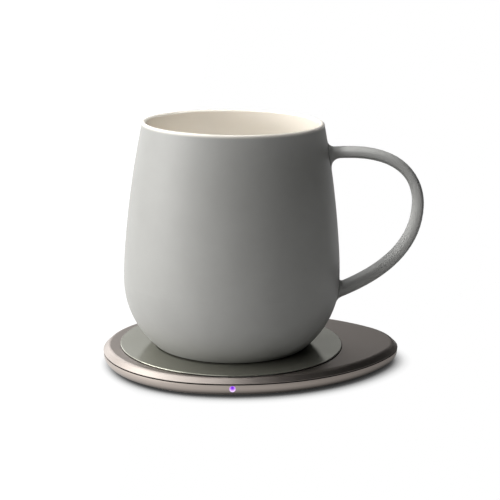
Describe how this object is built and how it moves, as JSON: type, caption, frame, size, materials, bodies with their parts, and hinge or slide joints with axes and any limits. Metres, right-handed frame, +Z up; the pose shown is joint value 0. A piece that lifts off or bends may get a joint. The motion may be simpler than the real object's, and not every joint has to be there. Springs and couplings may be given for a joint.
{
  "type": "heated mug with warming pad",
  "caption": "Tapered ceramic mug with a strap handle on a teardrop warming pad with a flat round disc and an indicator lamp; the mug lifts off.",
  "frame": {"origin": "on the axis of the mug and of the warming disc, at the table under the base mat", "axes": "+Z up, +X along the handle, -Y to the front with the lamp"},
  "size_m": [0.1327, 0.0986, 0.1024],
  "materials": {
    "mug_glaze": "matte grey glaze outside, cream glaze inside",
    "handle_glaze": "matte grey glaze",
    "base_plastic": "matte moulded",
    "silicone": "matte",
    "film": "satin film",
    "felt": "felt",
    "copper": "enamelled copper wire",
    "ferrite": "matte",
    "board": "lacquered board",
    "chips": "moulded",
    "sensor": "matte",
    "pad_metal": "brushed and anodised, champagne grey",
    "band_metal": "satin anodised, champagne grey",
    "plate_plastic": "matte moulded",
    "screw_steel": "plain",
    "disc_face": "satin, pale sage grey",
    "tray_plastic": "matte moulded",
    "socket_steel": "plated",
    "lens": "lit purple lens",
    "lamp": "lamp chip"
  },
  "bodies": {
    "pad": {"top_cover": "pad_metal", "lower_shell": "band_metal", "base_plate": "plate_plastic", "base_mat": "silicone", "base_screws": "screw_steel", "warming_disc": "disc_face", "disc_gasket": "silicone", "coil_tray": "tray_plastic", "pad_coil": "copper", "pad_ferrite": "ferrite", "pad_sensor": "sensor", "control_board": "board", "board_parts": "chips", "usb_socket": "socket_steel", "usb_tongue": "chips", "lamp_lens": "lens", "lamp_chip": "lamp", "lamp_board": "board", "lamp_ribbon": "film"},
    "mug": {"mug_body": "mug_glaze", "mug_handle": "handle_glaze", "base_cover": "base_plastic", "base_seal": "silicone", "foot_ring": "silicone", "heating_film": "film", "insulation_pad": "felt", "mug_coil": "copper", "mug_ferrite": "ferrite", "mug_board": "board", "mug_board_parts": "chips", "mug_sensor": "sensor"}
  },
  "joints": [
    {"name": "mug_lift", "type": "slide", "parent": "pad", "child": "mug", "axis": [0, 0, 1], "range_m": [0, 0.12]}
  ]
}
